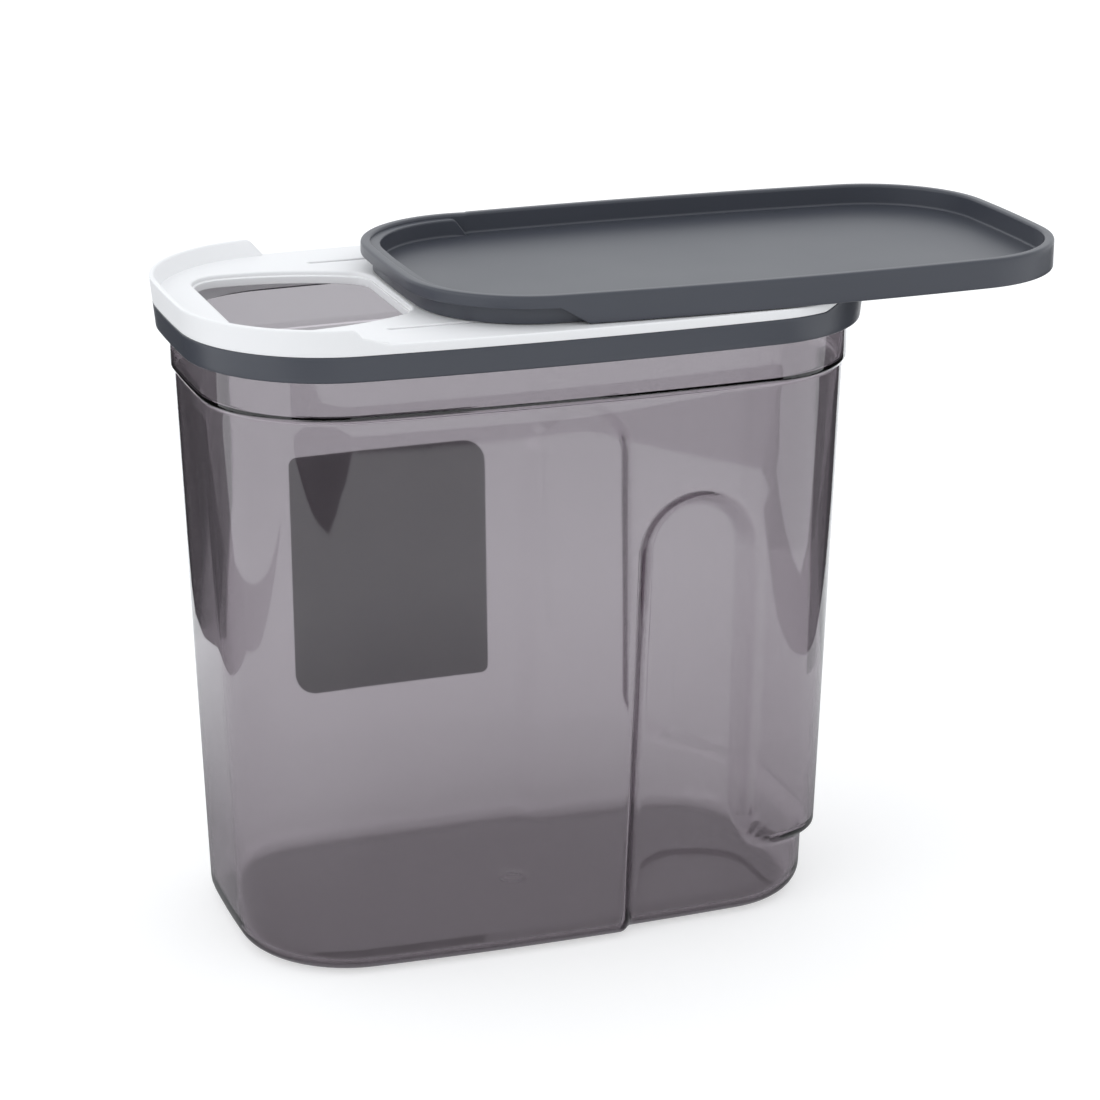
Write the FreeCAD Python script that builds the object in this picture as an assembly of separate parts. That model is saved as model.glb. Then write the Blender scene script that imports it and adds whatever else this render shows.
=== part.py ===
"""Tapered see-through storage box with a pour deck and a sliding tray lid.

Millimetres. The origin is the middle of the underside, X runs along the long side, +Y is the
labelled back, +Z is up. The slide lid is drawn pulled open along +X.
"""
import FreeCAD, Part
import math
import os

# Overall plan, which the collar sets
collar_length = 242.6
collar_width = 141.5
collar_corner = 51.0
side_bow_radius = 1220.0
end_bow_radius = 600.0

# Collar and gasket
collar_height = 9.0
collar_wall = 3.0
flange_thickness = 2.2
flange_reach = 7.8
collar_edge_round = 0.8
gasket_thickness = 1.3
gasket_width = 1.8
gasket_clearance = 0.1
end_rise_distance = 29.6
end_rise_slope = 9.0
end_rise_width = 3.0
end_rise_clearance = 0.4

# Bin
rim_top = 220.5
neck_height = 20.5
neck_end_clearance = 1.9
neck_side_clearance = 0.35
shoulder_step = 1.3
shoulder_rise = 1.5
base_length = 216.2
base_width = 121.6
base_corner = 41.0
foot_round = 8.0
bin_wall = 2.0
floor_thickness = 2.5
gate_radius = 4.5
gate_dimple_radius = 2.5
gate_height = 0.5

# Grip recess in both long walls, which runs on below a tongue at the right end
recess_centre = 47.1
recess_width = 41.0
recess_spring = 143.0
recess_lean = 4.0
recess_depth = 4.5
tongue_round = 20.0
tongue_bottom = 28.0
tongue_fall = 0.2

# Label on the back wall
label_length = 76.5
label_height = 92.0
label_centre = -27.15
label_bottom = 60.0
label_thickness = 0.25
label_glue = 0.1
label_large_corner = 9.0
label_small_corner = 3.0

# Pour deck
deck_rise = 3.4
deck_plate = 2.0
plug_clearance = 0.3
plug_wall = 1.8
plug_depth = 7.0
fence_height = 5.8
fence_width = 3.0
fence_reach = 50.5
fence_slope = 5.0
pour_end_distance = 15.7
pour_length = 62.6
pour_width = 85.4
pour_widest_at = 16.2
pour_side_radius = 85.0
pour_left_corner = 13.0
pour_right_corner = 12.0
ledge_width = 0.8
ledge_depth = 1.7
spout_wall = 1.6
spout_depth = 2.8

# Slide lid
slide_travel = 74.0
lid_end_inset = 1.35
lid_side_inset = 1.75
lid_corner = 44.0
lid_gap = 0.4
lid_step_gap = 1.1
lid_lip = 4.4
lid_overhang = 4.2
lid_wall = 3.5
lid_floor = 1.8
lid_floor_lift = 0.8
lid_ledge_width = 3.5
lid_ledge_drop = 1.2
lid_edge_round = 1.2

# Legs through the deck and the strips that hold them
leg_side_distance = 20.75
leg_thickness = 1.6
leg_length = 18.0
leg_open_distance = 37.5
leg_closed_distance = 62.8
leg_clearance = 0.3
leg_end_clearance = 0.5
leg_seat = 1.7
strip_width = 8.0
strip_thickness = 2.5
strip_margin = 2.5
strip_gap = 0.3

# Heights that follow
flange_bottom = rim_top + gasket_thickness
collar_top = flange_bottom + flange_thickness
collar_bottom = collar_top - collar_height
shoulder = rim_top - neck_height
deck_top = collar_top + deck_rise
deck_under = deck_top - deck_plate
fence_top = deck_top + fence_height
skirt_bottom = deck_top + lid_gap
lip_bottom = fence_top + lid_gap
lid_top = lip_bottom + lid_lip
tray_under = skirt_bottom + lid_floor_lift
tray_floor = tray_under + lid_floor
tray_ledge = lid_top - lid_ledge_drop
strip_top = deck_under - strip_gap
strip_under = strip_top - strip_thickness
leg_under = strip_top - leg_seat
reach = 2.0 * collar_length

# Places along and across that follow
fence_end = fence_reach - collar_length / 2
end_rise_start = collar_length / 2 - end_rise_distance
pour_left = pour_end_distance - collar_length / 2
pour_right = pour_left + pour_length
leg_offset = collar_width / 2 - leg_side_distance
first_leg = leg_closed_distance - collar_length / 2 + leg_length / 2
last_leg = collar_length / 2 - leg_open_distance - leg_length / 2 - slide_travel
lid_length = collar_length - 2 * lid_end_inset
lid_width = collar_width - 2 * lid_side_inset
neck_length = collar_length - 2 * (collar_wall + neck_end_clearance)
neck_width = collar_width - 2 * (collar_wall + neck_side_clearance)
neck_corner = collar_corner - collar_wall - neck_side_clearance

# Plan outlines: length, width, corner radius, radius of the long sides, radius of the ends
collar_plan = (collar_length, collar_width, collar_corner, side_bow_radius, end_bow_radius)
neck_plan = (neck_length, neck_width, neck_corner, side_bow_radius, end_bow_radius)
base_plan = (base_length, base_width, base_corner, side_bow_radius, end_bow_radius)
lid_plan = (lid_length, lid_width, lid_corner, side_bow_radius, end_bow_radius)


def outline(plan, inset, z, centre_x=0.0):
    """Closed outline of eight tangent arcs, drawn in by inset all round."""
    length, width, corner, side, end = plan
    half_x, half_y = length / 2 - inset, width / 2 - inset
    corner, side, end = corner - inset, side - inset, end - inset
    side_y, end_x = half_y - side, half_x - end
    gap = math.hypot(end_x, side_y)
    near, far = side - corner, end - corner
    along = (near ** 2 - far ** 2 + gap ** 2) / (2 * gap)
    off = math.sqrt(near ** 2 - along ** 2)
    ux, uy = end_x / gap, -side_y / gap
    corner_x, corner_y = along * ux + off * uy, side_y + along * uy - off * ux
    side_touch = (corner_x * side / near, side_y + (corner_y - side_y) * side / near)
    end_touch = (end_x + (corner_x - end_x) * end / far, corner_y * end / far)
    turn = math.atan2(corner_y - side_y, corner_x) + math.atan2(corner_y, corner_x - end_x)
    middle = (corner_x + corner * math.cos(turn / 2), corner_y + corner * math.sin(turn / 2))

    def point(xy, sx, sy):
        return FreeCAD.Vector(centre_x + sx * xy[0], sy * xy[1], z)

    edges = []
    for sx, sy in ((1, 1), (-1, 1), (-1, -1), (1, -1)):
        first, last = (end_touch, side_touch) if sx * sy > 0 else (side_touch, end_touch)
        edges.append(Part.Arc(point(first, sx, sy), point(middle, sx, sy), point(last, sx, sy)))
        if sx * sy > 0:
            edges.append(Part.Arc(point(last, sx, sy), point((0.0, half_y), sx, sy), point(last, -sx, sy)))
        else:
            edges.append(Part.Arc(point(last, sx, sy), point((half_x, 0.0), sx, sy), point(last, sx, -sy)))
    return Part.Wire([edge.toShape() for edge in edges])


def slab(plan, inset, low, high, centre_x=0.0):
    """Upright solid of an outline between two heights."""
    face = Part.Face(outline(plan, inset, low, centre_x))
    return face.extrude(FreeCAD.Vector(0, 0, high - low))


def ring(plan, outer_inset, inner_inset, low, high, centre_x=0.0):
    """Upright band between two insets of an outline."""
    return slab(plan, outer_inset, low, high, centre_x).cut(slab(plan, inner_inset, low, high, centre_x))


def pour_slab(inset, low, high):
    """Upright solid of the pour opening: straight ends, and bowed sides that narrow to the right."""
    side_x, side_y = pour_left + pour_widest_at, pour_width / 2 - pour_side_radius

    def corner(end, inward, radius):
        x = end + inward * radius
        y = side_y + math.sqrt((pour_side_radius - radius) ** 2 - (x - side_x) ** 2)
        return x, y, radius - inset, math.atan2(y - side_y, x - side_x)

    left_x, left_y, left_radius, left_touch = corner(pour_left, 1, pour_left_corner)
    right_x, right_y, right_radius, right_touch = corner(pour_right, -1, pour_right_corner)
    arcs = [
        (left_x, left_y, left_radius, math.pi, left_touch),
        (side_x, side_y, pour_side_radius - inset, left_touch, right_touch),
        (right_x, right_y, right_radius, right_touch, 0.0),
    ]

    def point(x, y, radius, angle, side):
        return FreeCAD.Vector(x + radius * math.cos(angle), side * (y + radius * math.sin(angle)), low)

    def bend(arc, side):
        x, y, radius, first, last = arc
        return Part.Arc(*(point(x, y, radius, a, side) for a in (first, (first + last) / 2, last))).toShape()

    def straight(x, y):
        return Part.LineSegment(FreeCAD.Vector(x, -y, low), FreeCAD.Vector(x, y, low)).toShape()

    edges = [bend(arc, 1) for arc in arcs] + [straight(right_x + right_radius, right_y)]
    edges += [bend(arc, -1) for arc in reversed(arcs)] + [straight(left_x - left_radius, left_y)]
    return Part.Face(Part.Wire(edges)).extrude(FreeCAD.Vector(0, 0, high - low))


def box(x0, x1, y0, y1, z0, z1):
    """Block between two corners."""
    return Part.makeBox(x1 - x0, y1 - y0, z1 - z0, FreeCAD.Vector(x0, y0, z0))


def across(edges_xz, y0, y1):
    """Solid of a profile in X and Z, pulled along Y."""
    wire = Part.Wire(edges_xz)
    wire.translate(FreeCAD.Vector(0, y0, 0))
    return Part.Face(wire).extrude(FreeCAD.Vector(0, y1 - y0, 0))


def xz(x, z):
    return FreeCAD.Vector(x, 0, z)


def line(a, b):
    return Part.LineSegment(xz(*a), xz(*b)).toShape()


def arc(a, b, c):
    return Part.Arc(xz(*a), xz(*b), xz(*c)).toShape()


def polygon(points):
    """Straight edges round a list of X and Z points."""
    return [line(a, b) for a, b in zip(points, points[1:] + points[:1])]


def level_edges(shape, z):
    """Edges that lie flat at one height."""
    tolerance = 1e-4
    flat = [e for e in shape.Edges if e.BoundBox.ZLength < tolerance]
    return [e for e in flat if abs(e.BoundBox.ZMin - z) < tolerance]


def taper(inset, bottom, edge_round):
    """Tapered trunk of the bin, drawn in by inset, cut level at the bottom and rounded there."""
    wires = [outline(base_plan, inset, 0.0), outline(neck_plan, shoulder_step + inset, shoulder)]
    trunk = Part.makeLoft(wires, True, True)
    if bottom > 0:
        trunk = trunk.cut(box(-reach, reach, -reach, reach, -reach, bottom))
    return trunk.makeFillet(edge_round, level_edges(trunk, bottom))


def recess_prism(grow):
    """Side view of the grip recess and the channel below the tongue, through both long walls."""
    left, right = recess_centre - recess_width / 2 - grow, recess_centre + recess_width / 2 + grow
    top = recess_spring + recess_width / 2 + grow
    round_x, round_z = right - grow + tongue_round, tongue_bottom + tongue_round
    small = tongue_round - grow
    diagonal = small * math.sqrt(0.5)
    far_z = tongue_bottom + grow - tongue_fall * (reach - round_x)
    low = -reach
    lean_x = left - recess_lean * (recess_spring - low) / recess_spring
    edges = [
        line((lean_x, low), (left, recess_spring)),
        arc((left, recess_spring), (recess_centre, top), (right, recess_spring)),
        line((right, recess_spring), (right, round_z)),
        arc((right, round_z), (round_x - diagonal, round_z - diagonal), (round_x, round_z - small)),
        line((round_x, round_z - small), (reach, far_z)),
        line((reach, far_z), (reach, low)),
        line((reach, low), (lean_x, low)),
    ]
    return across(edges, -reach, reach)


def bin_space(inset, bottom):
    """Whole volume of the bin up to its rim, drawn in by inset, with the grip recess."""
    edge_round = foot_round - inset
    prism = recess_prism(inset)
    trunk = taper(inset, bottom, edge_round).cut(prism)
    core = taper(inset + recess_depth, bottom, edge_round).common(prism)
    shoulder_wires = [
        outline(neck_plan, shoulder_step + inset, shoulder),
        outline(neck_plan, inset, shoulder + shoulder_rise),
    ]
    neck = slab(neck_plan, inset, shoulder + shoulder_rise, rim_top)
    return trunk.fuse([core, Part.makeLoft(shoulder_wires, True, True), neck])


def container_body():
    shell = bin_space(0.0, 0.0).cut(bin_space(bin_wall, floor_thickness))
    up = FreeCAD.Vector(0, 0, 1)
    seat = FreeCAD.Vector(0, 0, floor_thickness)
    gate = Part.makeCylinder(gate_radius, gate_height, seat, up)
    dimple = Part.makeCylinder(gate_dimple_radius, gate_height, seat, up)
    return shell.fuse(gate.cut(dimple)).removeSplitter()


def product_label():
    """Thin leaf-cornered sheet that follows the back wall."""
    x0, x1 = label_centre - label_length / 2, label_centre + label_length / 2
    z0, z1 = label_bottom, label_bottom + label_height
    corners = [
        (x0, z0, 1, 1, label_large_corner),
        (x1, z0, -1, 1, label_small_corner),
        (x1, z1, -1, -1, label_large_corner),
        (x0, z1, 1, -1, label_small_corner),
    ]
    edges, starts, ends = [], [], []
    for x, z, sx, sz, radius in corners:
        beside, above = (x + sx * radius, z), (x, z + sz * radius)
        bulge = radius * (1 - math.sqrt(0.5))
        first, last = (above, beside) if sx * sz > 0 else (beside, above)
        edges.append(arc(first, (x + sx * bulge, z + sz * bulge), last))
        starts.append(first)
        ends.append(last)
    sides = [line(ends[i], starts[(i + 1) % 4]) for i in range(4)]
    loop = [edge for pair in zip(edges, sides) for edge in pair]
    sheet = across(loop, 0.0, reach)
    outside = taper(-label_glue - label_thickness, 0.0, foot_round)
    return outside.common(sheet).cut(taper(-label_glue, 0.0, foot_round))


def end_side(gap):
    """Everything to the right of the sloped start of the collar's raised end, moved left by gap."""
    low, high = end_rise_start - gap, end_rise_start + end_rise_slope - gap
    corners = [(low, collar_top), (reach, collar_top), (reach, deck_top), (high, deck_top)]
    return across(polygon(corners), -reach, reach)


def lid_collar():
    band = ring(collar_plan, 0.0, collar_wall, collar_bottom, flange_bottom)
    flange = ring(collar_plan, 0.0, flange_reach, flange_bottom, collar_top)
    raised = ring(collar_plan, 0.0, end_rise_width, collar_top, deck_top).common(end_side(0.0))
    collar = band.fuse([flange, raised]).removeSplitter()
    middle = slab(collar_plan, collar_wall / 2, collar_bottom - collar_wall, collar_top)
    tolerance = 1e-3
    edges = level_edges(collar, collar_bottom)
    outer = [e for e in edges if not middle.isInside(e.valueAt(e.FirstParameter), tolerance, True)]
    return collar.makeFillet(collar_edge_round, outer)


def rim_gasket():
    return ring(neck_plan, gasket_clearance, gasket_clearance + gasket_width, rim_top, flange_bottom)


def leg_centres():
    """Middles of the two legs along one slot, with the lid closed."""
    return [first_leg, last_leg]


def guide_slot(side):
    """Through slot that the legs run along, from closed to open."""
    half = leg_thickness / 2 + leg_clearance
    first, last = leg_centres()
    x0 = first - leg_length / 2 - leg_end_clearance
    x1 = last + leg_length / 2 + slide_travel + leg_end_clearance
    y = side * leg_offset
    return box(x0, x1, y - half, y + half, deck_under - 1, deck_top + 1)


def step_cut(shift, low, high):
    """Everything to the right of the sloped fence end, moved along X by shift."""
    lean = fence_slope / fence_height
    x0 = fence_end + shift - lean * (low - deck_top)
    x1 = fence_end + shift - lean * (high - deck_top)
    return across(polygon([(x0, low), (reach, low), (reach, high), (x1, high)]), -reach, reach)


def pour_deck():
    plug_outer = flange_reach + plug_clearance
    plug_inner = plug_outer + plug_wall
    ledge = deck_top - ledge_depth
    deck = slab(collar_plan, 0.0, collar_top, deck_top)
    deck = deck.cut(slab(collar_plan, plug_inner, collar_top, deck_under))
    deck = deck.fuse(ring(collar_plan, plug_outer, plug_inner, collar_top - plug_depth, collar_top))
    end_inset = end_rise_width + end_rise_clearance
    end_room = ring(collar_plan, -end_rise_clearance, end_inset, collar_top, deck_top)
    deck = deck.cut(end_room.common(end_side(end_rise_clearance)))
    fence = ring(collar_plan, 0.0, fence_width, deck_top, fence_top)
    deck = deck.fuse(fence.cut(step_cut(0.0, deck_top, fence_top)))
    deck = deck.fuse(pour_slab(ledge_width - spout_wall, ledge - spout_depth, ledge))
    deck = deck.cut(pour_slab(0.0, ledge, deck_top))
    deck = deck.cut(pour_slab(ledge_width, ledge - spout_depth, ledge))
    for side in (-1, 1):
        deck = deck.cut(guide_slot(side))
    return deck.removeSplitter()


def slide_lid():
    lid = slab(lid_plan, 0.0, skirt_bottom, lid_top)
    lid = lid.makeFillet(lid_edge_round, level_edges(lid, lid_top))
    under_lip = ring(lid_plan, -lid_overhang, lid_overhang, skirt_bottom, lip_bottom)
    lid = lid.cut(under_lip.cut(step_cut(lid_step_gap, skirt_bottom, lip_bottom)))
    full_height = step_cut(lid_step_gap, tray_under - lid_floor_lift, lid_top)
    hollow = slab(lid_plan, lid_wall + lid_ledge_width, tray_floor, tray_ledge)
    hollow = hollow.fuse(slab(lid_plan, lid_wall, tray_floor, tray_ledge).common(full_height))
    hollow = hollow.fuse(slab(lid_plan, lid_wall, tray_ledge, lid_top))
    relief = slab(lid_plan, lid_wall + lid_ledge_width, skirt_bottom, tray_under)
    lid = lid.cut(hollow).cut(relief)
    for side in (-1, 1):
        for centre in leg_centres():
            lid = lid.fuse(leg(centre, side, tray_under))
    return opened(lid.removeSplitter())


def leg(centre, side, top):
    """One leg below the tray floor."""
    y = side * leg_offset
    half_x, half_y = leg_length / 2, leg_thickness / 2
    return box(centre - half_x, centre + half_x, y - half_y, y + half_y, leg_under, top)


def lid_retainer(side):
    """Strip below the deck that is pushed onto two legs and keeps the lid from lifting."""
    first, last = leg_centres()
    x0 = first - leg_length / 2 - strip_margin
    x1 = last + leg_length / 2 + strip_margin
    y = side * leg_offset
    strip = box(x0, x1, y - strip_width / 2, y + strip_width / 2, strip_under, strip_top)
    for centre in leg_centres():
        strip = strip.cut(leg(centre, side, strip_top))
    return opened(strip)


def opened(shape):
    """Shape moved from the closed place to the open one."""
    shape.translate(FreeCAD.Vector(slide_travel, 0, 0))
    return shape


pieces = {
    "container_body": container_body(),
    "product_label": product_label(),
    "lid_collar": lid_collar(),
    "rim_gasket": rim_gasket(),
    "pour_deck": pour_deck(),
    "slide_lid": slide_lid(),
    "lid_retainer_front": lid_retainer(-1),
    "lid_retainer_back": lid_retainer(1),
}

os.makedirs("parts", exist_ok=True)
for name, shape in pieces.items():
    shape.exportStep("parts/" + name + ".step")
    size = shape.BoundBox
    print(name, "solids", len(shape.Solids), "valid", shape.isValid(), "volume", round(shape.Volume, 1),
          "x", round(size.XMin, 2), round(size.XMax, 2), "y", round(size.YMin, 2), round(size.YMax, 2),
          "z", round(size.ZMin, 2), round(size.ZMax, 2))
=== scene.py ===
# %% [markdown]
# # A smoky storage box with a sliding lid
# The real object is a moulded kitchen container: a see-through tapered bin, a grey collar, a white
# pour deck and a tray-shaped lid that slides. The CAD frame gives each piece its place. This lesson
# models the four visible mouldings again with soft edges, gives every piece a finish and lights them.

# %% Load the frame
import bmesh
import bpy
import math
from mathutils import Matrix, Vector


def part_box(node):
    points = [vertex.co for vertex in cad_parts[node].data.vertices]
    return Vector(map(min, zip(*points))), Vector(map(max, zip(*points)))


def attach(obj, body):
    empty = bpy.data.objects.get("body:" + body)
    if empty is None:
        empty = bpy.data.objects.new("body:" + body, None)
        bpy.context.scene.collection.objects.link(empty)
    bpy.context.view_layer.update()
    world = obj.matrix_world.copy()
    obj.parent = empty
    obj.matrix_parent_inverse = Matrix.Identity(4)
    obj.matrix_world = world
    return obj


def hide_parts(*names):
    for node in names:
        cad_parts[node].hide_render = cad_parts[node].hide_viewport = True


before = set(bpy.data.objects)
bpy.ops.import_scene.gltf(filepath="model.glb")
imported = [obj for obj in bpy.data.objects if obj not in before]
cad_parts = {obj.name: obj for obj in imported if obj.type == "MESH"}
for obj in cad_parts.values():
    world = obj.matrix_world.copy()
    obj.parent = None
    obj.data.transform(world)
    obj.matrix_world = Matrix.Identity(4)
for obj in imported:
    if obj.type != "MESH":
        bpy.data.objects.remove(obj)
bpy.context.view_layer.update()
MM = 0.001
print("nodes:", sorted(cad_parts))

# %% [markdown]
# ## Outlines
# Every moulding here follows the same kind of plan: a rounded rectangle whose sides and ends bow out a
# little. A Bezier curve could draw it, but eight tangent arcs are exact, and drawing them in by an inset
# keeps them parallel, which is what a wall of even thickness needs.

# %% Eight arcs of a plan
def outline_arcs(plan, inset):
    """Centre, radius, first and last angle of the eight arcs, counter-clockwise from the right end."""
    length, width, corner, side, end = plan
    half_x, half_y = length / 2 - inset, width / 2 - inset
    corner, side, end = corner - inset, side - inset, end - inset
    side_y, end_x = half_y - side, half_x - end
    gap = math.hypot(end_x, side_y)
    near, far = side - corner, end - corner
    along = (near ** 2 - far ** 2 + gap ** 2) / (2 * gap)
    off = math.sqrt(near ** 2 - along ** 2)
    ux, uy = end_x / gap, -side_y / gap
    x, y = along * ux + off * uy, side_y + along * uy - off * ux
    low, high, half = math.atan2(y, x - end_x), math.atan2(y - side_y, x), math.pi
    return [
        (end_x, 0, end, -low, low),
        (x, y, corner, low, high),
        (0, side_y, side, high, half - high),
        (-x, y, corner, half - high, half - low),
        (-end_x, 0, end, half - low, half + low),
        (-x, -y, corner, half + low, half + high),
        (0, -side_y, side, half + high, 2 * half - high),
        (x, -y, corner, 2 * half - high, 2 * half - low),
    ]


def even(count):
    """Shares of an arc, evenly spaced, without its last point."""
    return [step / count for step in range(count)]


def walk(arcs, shares):
    """Points along a run of arcs: shares says where they lie on each arc."""
    points = []
    for (x, y, radius, first, last), steps in zip(arcs, shares):
        for step in steps:
            angle = first + (last - first) * step
            points.append((x + radius * math.cos(angle), y + radius * math.sin(angle)))
    return points


def outline(plan, inset, shares):
    """Points round a plan drawn in by an inset."""
    return walk(outline_arcs(plan, inset), shares)


CORNER_STEPS, SIDE_STEPS, END_STEPS = 24, 16, 10
plain_shares = [even(n) for n in (END_STEPS, CORNER_STEPS, SIDE_STEPS, CORNER_STEPS) * 2]
print("points round a plain outline:", sum(len(s) for s in plain_shares))

# %% [markdown]
# ## From outlines to a skin
# A lathe spins a profile round an axis. These mouldings are the same idea round an outline that isn't a
# circle: a grid is wrapped into a tube, one row for each point of the profile, and welded along its seam.

# %% Wrap a grid round a stack of rings
WELD = 1e-6


def wrap(bm, rings):
    """Tube through a stack of rings, each a list of points with the same count."""
    columns = len(rings[0])
    grid = bmesh.ops.create_grid(bm, x_segments=columns, y_segments=len(rings) - 1, size=1.0)
    for row, ring in enumerate(rings):
        for column in range(columns + 1):
            grid["verts"][row * (columns + 1) + column].co = ring[column % columns]
    bmesh.ops.remove_doubles(bm, verts=grid["verts"], dist=WELD)


def raised(points, height):
    """Flat points lifted to one height, or to a height for each point."""
    heights = height if isinstance(height, list) else [height] * len(points)
    return [(x, y, z) for (x, y), z in zip(points, heights)]


def open_edges(bm, height):
    """Open edges of the mesh that lie at one height."""
    found = [e for e in bm.edges if e.is_boundary]
    return [e for e in found if all(abs(v.co.z - height) < WELD for v in e.verts)]


def rounded(profile, radius, steps=4):
    """Profile of (inset, height) points whose inner corners are turned into arcs of one radius."""
    smooth = [profile[0]]
    for before, here, after in zip(profile, profile[1:], profile[2:]):
        legs = []
        for other in (before, after):
            length = math.dist(here, other)
            legs.append([(o - h) / length for o, h in zip(other, here)])
        for step in range(steps + 1):
            t = step / steps
            a, b = radius * (1 - t) ** 2, radius * t ** 2
            smooth.append(tuple(h + p * a + q * b for h, p, q in zip(here, *legs)))
    return smooth + [profile[-1]]


def moulding(bm, name, material, body, node, sharp=40.0):
    """Turn a bmesh into a finished piece that rides on a body and stands for a node."""
    bmesh.ops.recalc_face_normals(bm, faces=bm.faces)
    mesh = bpy.data.meshes.new(name)
    bm.to_mesh(mesh)
    bm.free()
    mesh.shade_smooth()
    mesh.set_sharp_from_angle(angle=math.radians(sharp))
    mesh.materials.append(material)
    piece = bpy.data.objects.new(name, mesh)
    bpy.context.scene.collection.objects.link(piece)
    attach(piece, body)
    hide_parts(node)
    print(name, "faces:", len(mesh.polygons))
    return piece


# %% [markdown]
# ## Finishes
# Moulded plastic is never one flat colour: the mould leaves a fine grain, and the gloss drifts a little
# over the surface. One node group makes both, and each plastic takes it with its own scale.

# %% Shared grain of moulded plastic
def grain_group():
    """Node group with a slow drift and a fine height, both from noise on Object coordinates."""
    group = bpy.data.node_groups.new("moulded_grain", "ShaderNodeTree")
    for kind, names in (("INPUT", ("Fine Scale", "Drift Scale")), ("OUTPUT", ("Drift", "Height"))):
        for name in names:
            group.interface.new_socket(name, in_out=kind, socket_type="NodeSocketFloat")
    nodes, links = group.nodes, group.links
    start, end = nodes.new("NodeGroupInput"), nodes.new("NodeGroupOutput")
    where = nodes.new("ShaderNodeTexCoord")
    for scale, result in (("Fine Scale", "Height"), ("Drift Scale", "Drift")):
        noise = nodes.new("ShaderNodeTexNoise")
        links.new(where.outputs["Object"], noise.inputs["Vector"])
        links.new(start.outputs[scale], noise.inputs["Scale"])
        links.new(noise.outputs["Fac"], end.inputs[result])
    return group


moulded_grain = grain_group()
print("node group:", moulded_grain.name)

# %% One recipe for every plastic
def span(nodes, links, source, low, high):
    """Map a drift of 0 to 1 onto a range."""
    node = nodes.new("ShaderNodeMapRange")
    node.inputs["To Min"].default_value = low
    node.inputs["To Max"].default_value = high
    links.new(source, node.inputs["Value"])
    return node.outputs["Result"]


def shade(nodes, links, source, first, second):
    """Mix two colours by a drift."""
    node = nodes.new("ShaderNodeMix")
    node.data_type = "RGBA"
    node.inputs["A"].default_value = (*first, 1)
    node.inputs["B"].default_value = (*second, 1)
    links.new(source, node.inputs["Factor"])
    return node.outputs["Result"]


def plastic(name, colours, gloss, fine, drift, bump, bump_distance=0.05 * MM):
    """Plastic whose colour and gloss drift between two values over a fine grain."""
    material = bpy.data.materials.new(name)
    material.use_nodes = True
    nodes, links = material.node_tree.nodes, material.node_tree.links
    surface = nodes["Principled BSDF"]
    grain = nodes.new("ShaderNodeGroup")
    grain.node_tree = moulded_grain
    grain.inputs["Fine Scale"].default_value = fine
    grain.inputs["Drift Scale"].default_value = drift
    links.new(shade(nodes, links, grain.outputs["Drift"], *colours), surface.inputs["Base Color"])
    links.new(span(nodes, links, grain.outputs["Drift"], *gloss), surface.inputs["Roughness"])
    relief = nodes.new("ShaderNodeBump")
    relief.inputs["Strength"].default_value = bump
    relief.inputs["Distance"].default_value = bump_distance
    links.new(grain.outputs["Height"], relief.inputs["Height"])
    links.new(relief.outputs["Normal"], surface.inputs["Normal"])
    return material


# %% The opaque finishes
slate_colours = ((0.046, 0.0505, 0.064), (0.053, 0.058, 0.074))
white_colours = ((0.9, 0.9, 0.905), (0.93, 0.93, 0.935))
seal_colours = ((0.6, 0.6, 0.6), (0.68, 0.68, 0.68))
film_colours = ((0.46, 0.47, 0.48), (0.56, 0.57, 0.58))
slate = plastic("slate_plastic", slate_colours, (0.3, 0.38), fine=2500, drift=18, bump=0.2)
white = plastic("white_plastic", white_colours, (0.4, 0.5), fine=2500, drift=18, bump=0.1)
seal = plastic("seal_rubber", seal_colours, (0.6, 0.7), fine=1800, drift=25, bump=0.3)
film = plastic("label_film", film_colours, (0.3, 0.4), fine=900, drift=30, bump=0.1)
print("opaque finishes:", [m.name for m in (slate, white, seal, film)])

# %% [markdown]
# Smoked plastic gets its grey inside the wall, not on its skin. A tinted surface would look the same face
# on and edge on. Absorption in the volume makes the wall darker where the eye looks along it, at the
# corners and at the rim, so the skin is left almost clear and the volume takes the light.

# %% Smoky plastic
clear_colours, ripple = ((0.96, 0.96, 0.96), (0.98, 0.98, 0.98)), 0.2 * MM
smoky = plastic("smoky_clear", clear_colours, (0.02, 0.05), 40, 12, bump=0.04, bump_distance=ripple)
smoky_nodes, smoky_links = smoky.node_tree.nodes, smoky.node_tree.links
smoky_nodes["Principled BSDF"].inputs["Transmission Weight"].default_value = 1.0
smoky_nodes["Principled BSDF"].inputs["IOR"].default_value = 1.55
smoke = smoky_nodes.new("ShaderNodeVolumeAbsorption")
smoke.inputs["Color"].default_value = (0.135, 0.0, 0.105, 1)
smoke.inputs["Density"].default_value = 192
smoky_links.new(smoke.outputs["Volume"], smoky_nodes["Material Output"].inputs["Volume"])
print("see-through finish:", smoky.name)

# %% [markdown]
# ## The bin
# The bin tapers from the collar's outline down to a smaller base, has a wider neck band for the collar
# to grip, and a thumb recess in both long walls that runs on below a tongue at the right end. A Boolean
# could cut the recess, but its edge would be hard and its mesh messy. Here the grid is fine where the
# recess is, and each point sinks by a smooth step of its distance to the recess's outline. On the inside
# the step is moved out a little, so that the wall keeps about the same thickness round the bend.

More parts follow.
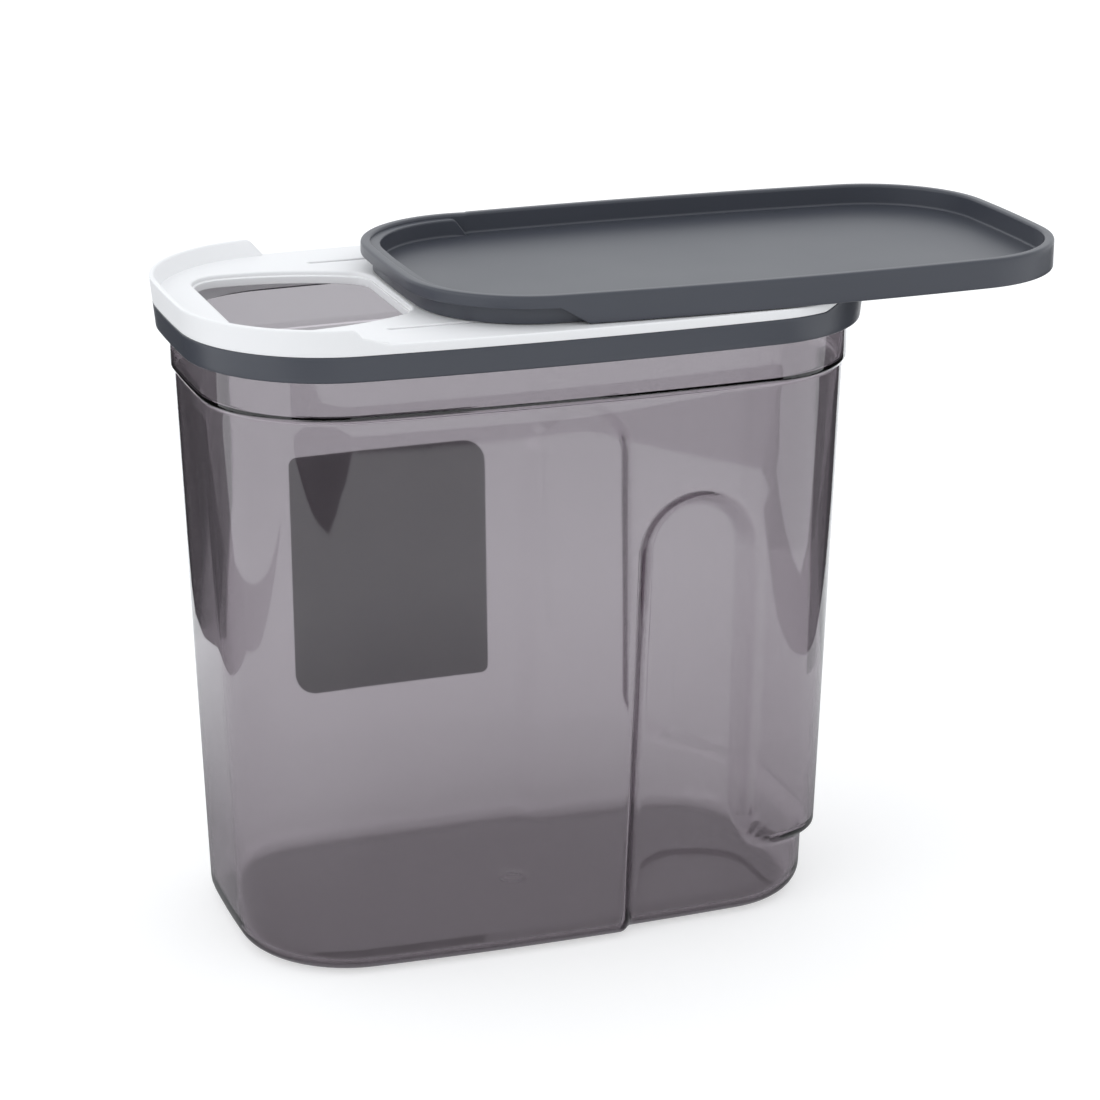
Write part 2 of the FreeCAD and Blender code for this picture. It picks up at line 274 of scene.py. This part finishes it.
# %% Sizes of the bin
BOWS = (1220 * MM, 600 * MM)
neck_plan = (232.8 * MM, 134.8 * MM, 47.65 * MM, *BOWS)
base_plan = (216.2 * MM, 121.6 * MM, 41 * MM, *BOWS)
shoulder_step, step_rise, step_round = 1.3 * MM, 1.2 * MM, 0.8 * MM
rim_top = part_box("container_body")[1].z
shoulder = rim_top - 20.5 * MM
bin_wall, floor_thickness, foot_round = 2.0 * MM, 2.5 * MM, 8.0 * MM
print("bin height in mm:", round(rim_top / MM, 1))

# %% Distance to the grip recess
recess_centre, recess_half, recess_spring = 47.1 * MM, 20.5 * MM, 143 * MM
recess_lean, recess_depth = 4.0 * MM, 4.5 * MM
tongue_round, tongue_bottom, tongue_fall = 20 * MM, 28 * MM, 0.2
edge_outside, edge_inside = 1.0 * MM, 4.5 * MM
EVEN_WALL = 0.5


def recess_distance(x, z):
    """Distance from the recess's outline in side view, below zero inside it."""
    if z > recess_spring:
        return math.hypot(x - recess_centre, z - recess_spring) - recess_half
    left = recess_centre - recess_half - recess_lean * (1 - z / recess_spring)
    round_x = recess_centre + recess_half + tongue_round
    under = tongue_bottom - tongue_fall * max(0.0, x - round_x)
    across, below = round_x - x, under + tongue_round - z
    outside_tongue = math.hypot(max(across, 0), max(below, 0)) + min(max(across, below), 0) - tongue_round
    return max(left - x, -outside_tongue)


def recess_share(x, z, grow):
    """How far a wall point is sunk: 0 on the wall, 1 on the recess's floor, smooth between."""
    t = (edge_outside + grow - recess_distance(x, z)) / (edge_outside + edge_inside)
    t = min(max(t, 0.0), 1.0)
    return t * t * (3 - 2 * t)


print("recess width in mm:", round(2 * recess_half / MM, 1))

# %% Rings of the tapered wall
def lerp(a, b, t):
    """Point between two points, or beyond them."""
    return tuple(p + (q - p) * t for p, q in zip(a, b))


touch = outline_arcs(base_plan, 0)[1][0]
fine_from, fine_step, coarse_step = 15 * MM, 1.0 * MM, 6 * MM
long_places = [-touch + coarse_step * n for n in range(int((touch + fine_from) / coarse_step))]
long_places += [fine_from + fine_step * n for n in range(int((touch - fine_from) / fine_step))]
front_long = [(x + touch) / (2 * touch) for x in long_places]
back_long = [0.0] + [1 - share for share in reversed(front_long) if share > 0]
BIN_END, BIN_CORNER = even(12), even(20)
bin_shares = [BIN_END, BIN_CORNER, back_long, BIN_CORNER, BIN_END, BIN_CORNER, front_long, BIN_CORNER]
print("points round the bin:", sum(len(s) for s in bin_shares))


def trunk_ring(height, inset, grow):
    """One ring of the tapered wall, sunk where the recess is."""
    level = height / shoulder
    ring = []
    low = outline(base_plan, inset, bin_shares)
    high = outline(neck_plan, shoulder_step + inset, bin_shares)
    low_in = outline(base_plan, inset + recess_depth, bin_shares)
    high_in = outline(neck_plan, shoulder_step + inset + recess_depth, bin_shares)
    for points in zip(low, high, low_in, high_in):
        wall, sunk = lerp(points[0], points[1], level), lerp(points[2], points[3], level)
        place = lerp(wall, sunk, recess_share(wall[0], height, grow))
        ring.append((*place, height))
    return ring


def stretch(first, last, step):
    """Heights from first up to just below last."""
    count = max(1, round((last - first) / step))
    return [first + (last - first) * n / count for n in range(count)]


tongue_zone, arch_zone = (14 * MM, 52 * MM), (140 * MM, 168 * MM)
wall_heights = stretch(foot_round, tongue_zone[0], 2 * MM) + stretch(*tongue_zone, fine_step)
wall_heights += stretch(tongue_zone[1], arch_zone[0], 4 * MM) + stretch(*arch_zone, fine_step)
wall_heights += stretch(arch_zone[1], shoulder - 1.0 * MM, 4 * MM)
FOOT_STEPS = 8


def trunk_rings(inset, bottom):
    """Rings from the flat bottom round its edge and up the wall."""
    radius = foot_round - inset
    rings = []
    for step in range(FOOT_STEPS):
        angle = math.radians(90 * step / FOOT_STEPS)
        drawn = inset + radius * (1 - math.sin(angle))
        rings.append(trunk_ring(bottom + radius * (1 - math.cos(angle)), drawn, inset * EVEN_WALL))
    start = bottom + radius
    return rings + [trunk_ring(z, inset, inset * EVEN_WALL) for z in wall_heights if z >= start]


# %% Shoulder, neck and rim
def band(inset, height):
    """Ring of the upright neck."""
    return raised(outline(neck_plan, inset, bin_shares), height)


soft = 0.5 * MM
inner_rise = 1.2 * MM
step_profile = [(shoulder_step, -2 * MM), (shoulder_step, 0), (0, step_rise), (0, 3.5 * MM)]


def neck_rings(inset, rise):
    """Rings over the shoulder step and up the neck, below the rim."""
    step = rounded(step_profile, step_round)[1:-1]
    rings = [band(x + inset, shoulder + rise + z) for x, z in step]
    return rings + [band(inset, z) for z in (shoulder + 8 * MM, rim_top - 2 * MM)]


rim_profile = rounded([(0, -2 * soft), (0, 0), (bin_wall, 0), (bin_wall, -2 * soft)], soft)
rim_rings = [band(x, rim_top + z) for x, z in rim_profile]
print("rings of the rim:", len(rim_rings))

# %% Floor with the moulding gate
gate_profile = [
    (8.0, 0), (5.2, 0), (4.8, 0.08), (4.3, 0.2), (3.2, 0.2), (2.6, 0.08), (2.0, -0.1), (1.0, -0.12)]


def floor_rings(ring):
    """Small circles on the inside floor, each point in line with the outer ring's."""
    angles = [math.atan2(y, x) for x, y, _ in ring]
    made = []
    for radius, rise in gate_profile:
        r, z = radius * MM, floor_thickness + rise * MM
        made.append([(r * math.cos(a), r * math.sin(a), z) for a in angles])
    return made


inside = trunk_rings(bin_wall, floor_thickness)
support_inset = foot_round + 1 * MM
support = trunk_ring(floor_thickness, support_inset, bin_wall * EVEN_WALL)
under_support = trunk_ring(0.0, support_inset, 0.0)
stack = [under_support] + trunk_rings(0.0, 0.0) + neck_rings(0.0, 0.0) + rim_rings
stack += neck_rings(bin_wall, inner_rise)[::-1] + inside[::-1] + [support] + floor_rings(support)
print("rings of the bin:", len(stack))

# %% Make the bin
bm = bmesh.new()
wrap(bm, stack)
bmesh.ops.holes_fill(bm, edges=[e for e in bm.edges if e.is_boundary], sides=0)
moulding(bm, "clear_bin", smoky, "container", "container_body", sharp=60)

# %% [markdown]
# ## The collar
# The collar is a ring with an inward flange. At its right end it rises to the level of the deck, with a
# long slope at the front and at the back, so the height of its crown is worked out point by point, and
# the points lie closer together at the slopes. Its outer face leans outward, as a moulded part has to so
# that it leaves its mould. The last ring lies on the first, and the weld closes it.

# %% Points round the collar and the deck
collar_plan = (242.6 * MM, 141.5 * MM, 51 * MM, *BOWS)
collar_end = collar_plan[0] / 2
deck_rise, fence_slope = 3.4 * MM, 5 * MM
fence_end = 50.5 * MM - collar_end
rise_start, rise_slope = collar_end - 29.6 * MM, 9 * MM


CLOSEST, STEP_ROUND = 0.02, 0.25


def stepped_corner(arc, places):
    """Shares of a back corner's arc, even but with one at each of some places along X."""
    x, _, radius, first, last = arc
    wanted = [(math.acos((place - x) / radius) - first) / (last - first) for place in places]
    plain = [s for s in even(CORNER_STEPS) if min(abs(s - w) for w in wanted) > CLOSEST]
    return sorted(plain + wanted)


def mirrored(shares):
    """The same shares on the front corner, which is walked the other way."""
    return [0.0] + [1 - s for s in reversed(shares) if s > 0]


def soft_step(run):
    """Ramp from 0 to 1 with a sharp foot and a rounded top."""
    top = 1 + STEP_ROUND
    run = min(max(run, 0.0), top)
    return run if run < 1 - STEP_ROUND else 1 - (top - run) ** 2 / (4 * STEP_ROUND)


collar_arcs = outline_arcs(collar_plan, 0)
fence_places = [fence_end - d * MM for d in (-0.5, 0, 0.5, 2.0, 3.5, 4.2, 5.0, 5.8, 6.5)]
rise_places = [rise_start + d * MM for d in (-1.2, 0, 1.5, 3.0, 4.5, 6.0, 7.0, 7.6, 8.0, 8.6, 9.0, 9.4)]
fence_shares = stepped_corner(collar_arcs[3], fence_places)
rise_shares = stepped_corner(collar_arcs[1], rise_places)
collar_shares = list(plain_shares)
collar_shares[1], collar_shares[7] = rise_shares, mirrored(rise_shares)
collar_shares[3], collar_shares[5] = fence_shares, mirrored(fence_shares)
collar_edge = outline(collar_plan, 0, collar_shares)
print("points round the collar:", len(collar_edge))

# %% Rings of the collar
collar_low, flange_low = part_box("lid_collar")[0].z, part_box("rim_gasket")[1].z
collar_wall, rise_width = 3.0 * MM, 3.0 * MM
flange_reach, flange_thickness = 7.8 * MM, 2.2 * MM
collar_high = flange_low + flange_thickness
collar_round = 0.6 * MM
lean_level, lean_share = collar_low + 4.5 * MM, 0.1


def leaning(inset, heights):
    """Ring on the collar's outline, moved outward the higher it lies, as the mould's draft asks."""
    ring = []
    near = outline(collar_plan, inset, collar_shares)
    far = outline(collar_plan, inset - MM, collar_shares)
    for here, further, z in zip(near, far, heights):
        ring.append((*lerp(here, further, lean_share * (z - lean_level) / MM), z))
    return ring


def collar_ring(inset, height):
    """Ring of the collar: its outer face leans, its inner face is upright."""
    heights = height if isinstance(height, list) else [height] * len(collar_edge)
    if inset < rise_width - WELD:
        return leaning(inset, heights)
    return raised(outline(collar_plan, inset, collar_shares), heights)


def end_rise(x):
    """How far the collar's top has risen at one place along X."""
    return deck_rise * min(max((x - rise_start) / rise_slope, 0.0), 1.0)


def collar_crown(inset, drop):
    """Ring that follows the collar's top, lowered by drop, and never below the flange on the inside."""
    heights = []
    for x, _ in collar_edge:
        rise = end_rise(x)
        heights.append(collar_high + rise - (min(drop, rise) if inset > rise_width / 2 else drop))
    return collar_ring(inset, heights)


print("collar top in mm:", round(collar_high / MM, 1))

# %% Make the collar
collar_face = 2 * MM
foot = rounded([(collar_wall / 2, collar_low), (0, collar_low), (0, collar_low + collar_face)], collar_round)
crown = rounded([(0, collar_face), (0, 0), (rise_width, 0), (rise_width, deck_rise)], collar_round)
flange = rounded([
    (rise_width, collar_high), (flange_reach, collar_high), (flange_reach, flange_low),
    (collar_wall, flange_low), (collar_wall, collar_low), (collar_wall / 2, collar_low)], collar_round)
bm = bmesh.new()
rings = [collar_ring(*p) for p in foot]
rings += [collar_crown(*p) for p in crown]
rings += [collar_ring(*p) for p in flange]
wrap(bm, rings)
bmesh.ops.dissolve_degenerate(bm, dist=WELD, edges=bm.edges)
moulding(bm, "grip_collar", slate, "pour_lid", "lid_collar")

# %% [markdown]
# ## The pour deck
# The deck is a plate with a rounded pour opening, two long slots that guide the lid, and a raised fence
# round the pour end whose ends slope down to the deck. The outer rings carry the fence: their height is
# worked out point by point, and at the right end they lie inside the collar's raised end. The flat plate
# between outer ring, opening and slots is one triangle fill, which copes with holes of any shape.

# %% Sizes of the deck
deck_top = collar_high + deck_rise
deck_under = deck_top - 2.0 * MM
fence_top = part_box("pour_deck")[1].z
plug_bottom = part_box("pour_deck")[0].z
fence_width, fence_rim = 3 * MM, 1.8 * MM
plug_outer, plug_inner = 8.1 * MM, 9.9 * MM
end_inset, end_gap, end_turn = rise_width + 0.4 * MM, 0.6 * MM, 0.4 * MM
pour_left, pour_right, pour_widest = -105.6 * MM, -43.0 * MM, -89.4 * MM
pour_half_width, pour_side_radius = 42.7 * MM, 85 * MM
pour_left_corner, pour_right_corner = 13 * MM, 12 * MM
ledge_width, spout_wall = 0.8 * MM, 1.6 * MM
ledge, spout_bottom = deck_top - 1.7 * MM, deck_top - 4.5 * MM
slot_half, slot_first, slot_last, slot_y = 1.1 * MM, -59 * MM, 84.3 * MM, 50 * MM
print("deck top in mm:", round(deck_top / MM, 1))

# %% Rings of the deck
edge_round = 0.7 * MM


def fence_height(x):
    """Height of the deck's edge: the deck itself, then the slope, then the fence."""
    return deck_top + (fence_top - deck_top) * soft_step((fence_end - x) / fence_slope)


def deck_ring(inset, heights):
    """Ring of the deck's edge: it clears the collar's slope and is drawn in where the collar is raised."""
    drawn_in = outline(collar_plan, max(inset, end_inset), collar_shares)
    if inset >= end_inset:
        return raised(drawn_in, heights)
    lifted = [max(z, collar_high + end_rise(x + end_gap)) for (x, _), z in zip(collar_edge, heights)]
    ring = []
    for (x, _), outer, inner in zip(collar_edge, leaning(inset, lifted), drawn_in):
        share = (x + end_gap - rise_start - rise_slope) / end_turn
        ring.append((*lerp(outer[:2], inner, min(max(share, 0.0), 1.0)), outer[2]))
    return ring


def level(height):
    """The same height for every point round the deck."""
    return [height] * len(collar_edge)


def lip_heights(inset, drop):
    """Heights that follow the fence's top, lowered by drop, but on the inside not below the deck."""
    heights = [fence_height(x) - drop for x, _ in collar_edge]
    return [max(z, deck_top) for z in heights] if inset > edge_round else heights


# %% Deck edge, fence and plug
bm = bmesh.new()
foot_edge, outer_face = 0.3 * MM, 1.5 * MM
foot = rounded([
    (plug_inner, deck_under), (plug_inner, plug_bottom), (plug_outer, plug_bottom),
    (plug_outer, collar_high), (end_inset, collar_high)], foot_edge)
foot += rounded([(end_inset - WELD, collar_high), (0, collar_high), (0, collar_high + outer_face)], foot_edge)
rings = [deck_ring(x, level(z)) for x, z in foot]
lip = rounded([(0, outer_face), (0, 0), (fence_rim, 0), (fence_width, fence_top - deck_top)], edge_round)
rings += [deck_ring(x, lip_heights(x, z)) for x, z in lip]
rings.append(deck_ring(fence_width, level(deck_top)))
wrap(bm, rings)
bmesh.ops.dissolve_degenerate(bm, dist=WELD, edges=bm.edges)
print("rings of the deck's edge:", len(rings))

# %% Arcs of the pour opening
def pour_arcs(inset):
    """Six arcs of the opening: its ends are straight, and its bowed sides narrow to the right."""
    side_y = pour_half_width - pour_side_radius
    corners = []
    for end, inward, radius in ((pour_right, -1, pour_right_corner), (pour_left, 1, pour_left_corner)):
        x = end + inward * radius
        y = side_y + math.sqrt((pour_side_radius - radius) ** 2 - (x - pour_widest) ** 2)
        corners.append((x, y, radius - inset, math.atan2(y - side_y, x - pour_widest)))
    right_touch, left_touch = corners[0][3], corners[1][3]
    back = [
        (*corners[0][:3], 0, right_touch),
        (pour_widest, side_y, pour_side_radius - inset, right_touch, left_touch),
        (*corners[1][:3], left_touch, math.pi),
    ]
    return back + [(x, -y, radius, -last, -first) for x, y, radius, first, last in reversed(back)]


pour_shares = [even(14), even(24), even(14) + [1.0]] * 2
print("points round the opening:", sum(len(s) for s in pour_shares))

# %% Opening, slots and the plate between them
brim_reach, brim_round, spout_round = 1.6 * MM, 1.1 * MM, 0.35 * MM
spout = rounded([(-brim_reach, deck_top), (0, deck_top), (0, ledge + 0.5 * MM)], brim_round)
spout += rounded([
    (0, ledge + 0.4 * MM), (0, ledge), (ledge_width, ledge), (ledge_width, spout_bottom),
    (ledge_width - spout_wall, spout_bottom), (ledge_width - spout_wall, deck_under)], spout_round)
wrap(bm, [raised(walk(pour_arcs(x), pour_shares), z) for x, z in spout])
SLOT_STEPS = 8


def slot_loop(side, grow):
    """Points round one slot with round ends, grown all round."""
    half = slot_half + grow
    points = []
    for centre, start in ((slot_last - slot_half, -90), (slot_first + slot_half, 90)):
        for step in range(SLOT_STEPS + 1):
            angle = math.radians(start + 180 * step / SLOT_STEPS)
            points.append((centre + half * math.cos(angle), side * slot_y + half * math.sin(angle)))
    return points


slot_reach, slot_round = 0.8 * MM, 0.6 * MM
slot_edge = rounded([(slot_reach, deck_top), (0, deck_top), (0, deck_under)], slot_round)
for side in (-1, 1):
    wrap(bm, [raised(slot_loop(side, x), z) for x, z in slot_edge])
for height in (deck_top, deck_under):
    bmesh.ops.triangle_fill(bm, use_beauty=True, edges=open_edges(bm, height))
print("open edges left on the deck:", sum(e.is_boundary for e in bm.edges))
moulding(bm, "pour_plate", white, "pour_lid", "pour_deck")

# %% [markdown]
# ## The slide lid
# The lid is a shallow tray. Its right part has a full skirt. At the left end the skirt ends in a step, so
# that the lid's lip passes over the deck's fence when it is shut, and a ledge runs round the inside. Two
# meshes could be joined there, but both changes happen point by point along the same rings.

# %% Sizes of the lid
lid_low, lid_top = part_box("slide_lid")[0].z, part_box("slide_lid")[1].z
lid_plan = (239.9 * MM, 138 * MM, 44 * MM, *BOWS)
lid_shift, lid_step = 74 * MM, fence_end + 1.1 * MM
skirt_bottom, lip_bottom = deck_top + 0.4 * MM, fence_top + 0.4 * MM
tray_under, tray_floor = skirt_bottom + 0.8 * MM, skirt_bottom + 2.6 * MM
lid_wall, overhang, ledge_reach = 3.5 * MM, 4.2 * MM, 7.0 * MM
tray_ledge = lid_top - 1.2 * MM
print("lid height in mm:", round((lid_top - skirt_bottom) / MM, 1))

# %% Rings of the lid
step_places = [lid_step - d * MM for d in (-0.4, 0, 0.4, 1.5, 2.5, 3.5, 4.2, 5.0, 5.8, 6.5)]
lid_corner = stepped_corner(outline_arcs(lid_plan, 0)[3], step_places)
lid_shares = list(plain_shares)
lid_shares[3], lid_shares[5] = lid_corner, mirrored(lid_corner)
lid_edge = outline(lid_plan, 0, lid_shares)
print("points round the lid:", len(lid_edge))


def lid_ring(inset, height, end_height=None):
    """Ring of the lid whose height changes from the full skirt to the stepped left end."""
    end_height = height if end_height is None else end_height
    ring = []
    for (x, _), (px, py) in zip(lid_edge, outline(lid_plan, inset, lid_shares)):
        share = soft_step((lid_step - x) / fence_slope)
        ring.append((px + lid_shift, py, height + (end_height - height) * share))
    return ring


# %% Make the lid
top_round, low_round, brink_round = 1.0 * MM, 0.5 * MM, 0.6 * MM
bend_reach, bend_round = 1.2 * MM, 0.9 * MM
LEDGE_FLATNESS = 12
rings = [lid_ring(ledge_reach, tray_under), lid_ring(ledge_reach, skirt_bottom)]
rings += [lid_ring(overhang, skirt_bottom), lid_ring(overhang, skirt_bottom, lip_bottom)]
outer = rounded([(low_round * 2, 0), (0, 0), (0, low_round * 3)], low_round)
rings += [lid_ring(x, skirt_bottom + z, lip_bottom + z) for x, z in outer]
crown = rounded([(0, -2.4 * MM), (0, 0), (lid_wall, 0), (lid_wall, -1.1 * MM)], top_round)
rings += [lid_ring(x, lid_top + z) for x, z in crown]
bend = rounded([(0, bend_reach), (0, 0), (bend_reach, 0)], bend_round)
rings += [lid_ring(lid_wall + x, tray_floor + z, tray_ledge + z / LEDGE_FLATNESS) for x, z in bend]
brink = rounded([(-bend_reach, 0), (0, 0), (0, -bend_reach)], brink_round)
rings += [lid_ring(ledge_reach + x, tray_floor, tray_ledge + z) for x, z in brink]
rings += [lid_ring(ledge_reach + x, tray_floor, tray_floor + z) for x, z in bend]
bm = bmesh.new()
wrap(bm, rings)
bmesh.ops.holes_fill(bm, edges=[e for e in bm.edges if e.is_boundary], sides=0)
bmesh.ops.dissolve_degenerate(bm, dist=WELD, edges=bm.edges)
print("rings of the lid:", len(rings))

# %% Legs that run in the slots
leg_length, leg_width, leg_gap = 18 * MM, 1.6 * MM, 0.5 * MM
leg_places = [slot_first + leg_gap + leg_length / 2 + lid_shift, slot_last - leg_gap - leg_length / 2]
for side in (-1, 1):
    for x in leg_places:
        leg = bmesh.ops.create_cube(bm, size=1.0)["verts"]
        bmesh.ops.scale(bm, vec=(leg_length, leg_width, tray_under - lid_low), verts=leg)
        bmesh.ops.translate(bm, vec=(x, side * slot_y, (tray_under + lid_low) / 2), verts=leg)
moulding(bm, "tray_lid", slate, "slide_lid", "slide_lid")

# %% [markdown]
# ## Pieces kept from the frame
# The seal, the two guide strips and the label already have the right shape, so they only get a finish.

# %% Finish the kept nodes
kept_nodes = {
    "rim_gasket": seal,
    "lid_retainer_front": white,
    "lid_retainer_back": white,
    "product_label": film,
}
for node, material in kept_nodes.items():
    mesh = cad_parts[node].data
    mesh.materials.clear()
    mesh.materials.append(material)
    print(node, "wears", material.name)

# %% [markdown]
# ## Studio
# The photograph is a catalogue shot: white floor, white surround, soft light. Lamps with edges would show
# as hard spots in the smoky walls, so an even sky and two wide suns light the box. The floor is pale grey
# paper, because a white one would look too bright through the walls. A glow that only the camera sees
# turns it white in the picture, and a faint pool of glow round the box lights its foot.

# %% Glow that changes with distance
STUDIO_TINT = (0.955, 0.975, 1.0)


def fade(nodes, links, near, far, first, last):
    """Value that runs from first to last between two distances from the object's origin."""
    where, away = nodes.new("ShaderNodeTexCoord"), nodes.new("ShaderNodeVectorMath")
    away.operation = "LENGTH"
    ramp = nodes.new("ShaderNodeMapRange")
    for socket, value in (("From Min", near), ("From Max", far), ("To Min", first), ("To Max", last)):
        ramp.inputs[socket].default_value = value
    links.new(where.outputs["Object"], away.inputs[0])
    links.new(away.outputs["Value"], ramp.inputs["Value"])
    return ramp.outputs["Result"]


def sheet_object(name, bm, material):
    """Stage object from a bmesh, with one material."""
    mesh = bpy.data.meshes.new(name)
    bm.to_mesh(mesh)
    bm.free()
    mesh.materials.append(material)
    sheet = bpy.data.objects.new(name, mesh)
    bpy.context.scene.collection.objects.link(sheet)
    return sheet


def matt_material(name, colour, glow_colour):
    """Material without shine, and its surface, ready for a glow."""
    material = bpy.data.materials.new(name)
    material.use_nodes = True
    surface = material.node_tree.nodes["Principled BSDF"]
    surface.inputs["Base Color"].default_value = (*colour, 1)
    surface.inputs["Specular IOR Level"].default_value = 0.0
    surface.inputs["Emission Color"].default_value = (*glow_colour, 1)
    return material, surface


# %% Floor
FLOOR_HALF, FLOOR_DROP = 6.0, 0.2 * MM
PAPER_GREY, PAPER_ROUGHNESS, PAPER_GLOW = 0.62, 0.9, 0.5
POOL_NEAR, POOL_FAR, POOL_GLOW = 0.2, 0.55, 0.1
paper, paper_surface = matt_material("studio_paper", [PAPER_GREY] * 3, (1, 1, 1))
paper_surface.inputs["Roughness"].default_value = PAPER_ROUGHNESS
paper_nodes, paper_links = paper.node_tree.nodes, paper.node_tree.links
path, seen = paper_nodes.new("ShaderNodeLightPath"), paper_nodes.new("ShaderNodeMix")
seen.inputs["B"].default_value = PAPER_GLOW
paper_links.new(path.outputs["Is Camera Ray"], seen.inputs["Factor"])
paper_links.new(fade(paper_nodes, paper_links, POOL_NEAR, POOL_FAR, POOL_GLOW, 0.0), seen.inputs["A"])
paper_links.new(seen.outputs["Result"], paper_surface.inputs["Emission Strength"])
bm = bmesh.new()
bmesh.ops.create_grid(bm, x_segments=1, y_segments=1, size=FLOOR_HALF)
floor = sheet_object("studio_floor", bm, paper)
floor.location.z = -FLOOR_DROP
print("floor in metres:", 2 * FLOOR_HALF)

# %% Surround
FRONT_GLOW, BACK_GLOW = 0.95, 1.05
world = bpy.data.worlds.new("studio")
bpy.context.scene.world = world
world.use_nodes = True
sky, sky_links = world.node_tree.nodes, world.node_tree.links
sky["Background"].inputs["Color"].default_value = (*STUDIO_TINT, 1)
direction, parts = sky.new("ShaderNodeTexCoord"), sky.new("ShaderNodeSeparateXYZ")
glow = sky.new("ShaderNodeMapRange")
glow.inputs["From Min"].default_value = -1.0
glow.inputs["To Min"].default_value = FRONT_GLOW
glow.inputs["To Max"].default_value = BACK_GLOW
sky_links.new(direction.outputs["Generated"], parts.inputs["Vector"])
sky_links.new(parts.outputs["Y"], glow.inputs["Value"])
sky_links.new(glow.outputs["Result"], sky["Background"].inputs["Strength"])


# %% Lamps
def soft_sun(name, turn, tilt, glow, spread):
    """Even light from a wide disc of sky: glow is the share of full white it gives a facing surface."""
    lamp = bpy.data.lights.new(name, "SUN")
    lamp.energy = glow * math.pi
    lamp.angle = math.radians(spread)
    lamp.color = STUDIO_TINT
    holder = bpy.data.objects.new(name, lamp)
    holder.rotation_euler = (math.radians(tilt), 0, math.radians(turn))
    bpy.context.scene.collection.objects.link(holder)
    print(name, "gives", glow)


soft_sun("top_softbox", turn=0, tilt=-8, glow=0.03, spread=100)
soft_sun("left_softbox", turn=-75, tilt=70, glow=0.15, spread=60)

# %% [markdown]
# ## Cards
# A see-through box shows its shape mostly by what it mirrors, so a photographer puts white and black cards
# round it. Here the cards lie just above the floor. Most are seen only in reflections: a bright table
# with dark flags on it draws the light and dark fields on the walls. Two more are seen only through the
# bin and darken its left and right edges. Nothing else sees them, so they throw no shadow.

# %% A card on the floor
TABLE_RISE, CARD_RISE, FRONT_RISE = 0.5 * MM, 1.0 * MM, 1.5 * MM
FLAG_GLOW, FRONT_FLAG_GLOW, EDGE_GLOW = 0.02, 0.05, 0.22


def card(name, height, outline, glow, behind=False):
    """Card with the given corners, seen only in reflections or, if it lies behind, only through the bin."""
    bm = bmesh.new()
    bm.faces.new([bm.verts.new((x, y, height)) for x, y in outline])
    cloth, surface = matt_material(name, (0, 0, 0), STUDIO_TINT)
    surface.inputs["Emission Strength"].default_value = glow
    sheet = sheet_object(name, bm, cloth)
    sheet.visible_camera = False
    sheet.visible_diffuse = False
    sheet.visible_shadow = False
    sheet.visible_transmission = behind
    sheet.visible_glossy = not behind
    print("card:", name, "with", len(outline), "corners")
    return cloth, surface


# %% Bright table
TABLE_HALF = 2
table_outline = [(x * TABLE_HALF, y * TABLE_HALF) for x, y in ((-1, -1), (1, -1), (1, 1), (-1, 1))]
table, table_surface = card("bright_table", TABLE_RISE, table_outline, 1.0)
table_links = table.node_tree.links
# The table's glow is dimmer near the box: a painted shadow that stands in for the shade the box casts on the
# floor, as the walls mirror it.
table_glow_with_painted_shadow = fade(table.node_tree.nodes, table_links, near=0.15, far=0.42, first=0.3, last=1.4)
table_links.new(table_glow_with_painted_shadow, table_surface.inputs["Emission Strength"])

# %% Flags on the table
flag_right = [
    (0.295, -0.42), (0.295, -0.24), (0.325, -0.09), (0.34, 0.03), (0.385, 0.18), (0.435, 0.28),
    (1.2, 0.9), (1.2, 0.0), (0.47, -0.085), (0.415, -0.135), (0.39, -0.42)]
card("flag_right", CARD_RISE, flag_right, FLAG_GLOW)
flag_left = [
    (-0.49, -0.22), (-0.43, -0.1), (-0.385, -0.015), (-0.365, 0.07), (-0.165, 0.285), (-0.125, 0.43),
    (-0.125, 1.2), (-1.0, 1.2), (-1.0, 0.62), (-0.605, 0.35), (-0.44, 0.17), (-0.47, -0.12), (-0.495, -0.22)]
card("flag_left", CARD_RISE, flag_left, FLAG_GLOW)
flag_front = [
    (-0.505, -0.38), (-0.355, -0.405), (-0.25, -0.44), (-0.19, -0.51), (-0.09, -0.595), (0.2, -0.58),
    (0.31, -0.475), (0.34, -0.42), (0.42, -0.42), (0.55, -0.6), (0.5, -0.72), (-0.6, -0.72), (-0.9, -0.69)]
card("flag_front", FRONT_RISE, flag_front, FRONT_FLAG_GLOW)

# %% Dark cards behind the edges
dark_left = [(-0.075, 0.294), (-0.012, 0.494), (0.056, 0.8), (-0.244, 0.8), (-0.375, 0.294)]
card("dark_left", CARD_RISE, dark_left, EDGE_GLOW, behind=True)
dark_right = [(0.21, 0.15), (0.452, 0.672), (0.752, 0.572), (0.51, 0.05)]
card("dark_right", CARD_RISE, dark_right, EDGE_GLOW, behind=True)

# %% [markdown]
# ## Camera
# The camera is the one whose perspective fits the outlines in the photograph: a long lens, turned to the
# left and looking down. The Standard view keeps the white of the studio white.

# %% Camera
FRAME_PIXELS, FOCAL_PIXELS, SENSOR = 1100, 3274, 36.0
camera = bpy.data.cameras.new("photo_camera")
camera.lens = FOCAL_PIXELS / FRAME_PIXELS * SENSOR
camera.sensor_width = SENSOR
view = bpy.data.objects.new("photo_camera", camera)
view.location = (-0.3528, -1.0529, 0.4952)
LOOK_DOWN, LOOK_TURN = 18.255, -19.248
view.rotation_euler = (math.radians(90 - LOOK_DOWN), 0, math.radians(LOOK_TURN))
bpy.context.scene.collection.objects.link(view)
bpy.context.scene.camera = view
bpy.context.scene.view_settings.view_transform = "Standard"
print("lens in mm:", round(camera.lens, 1))
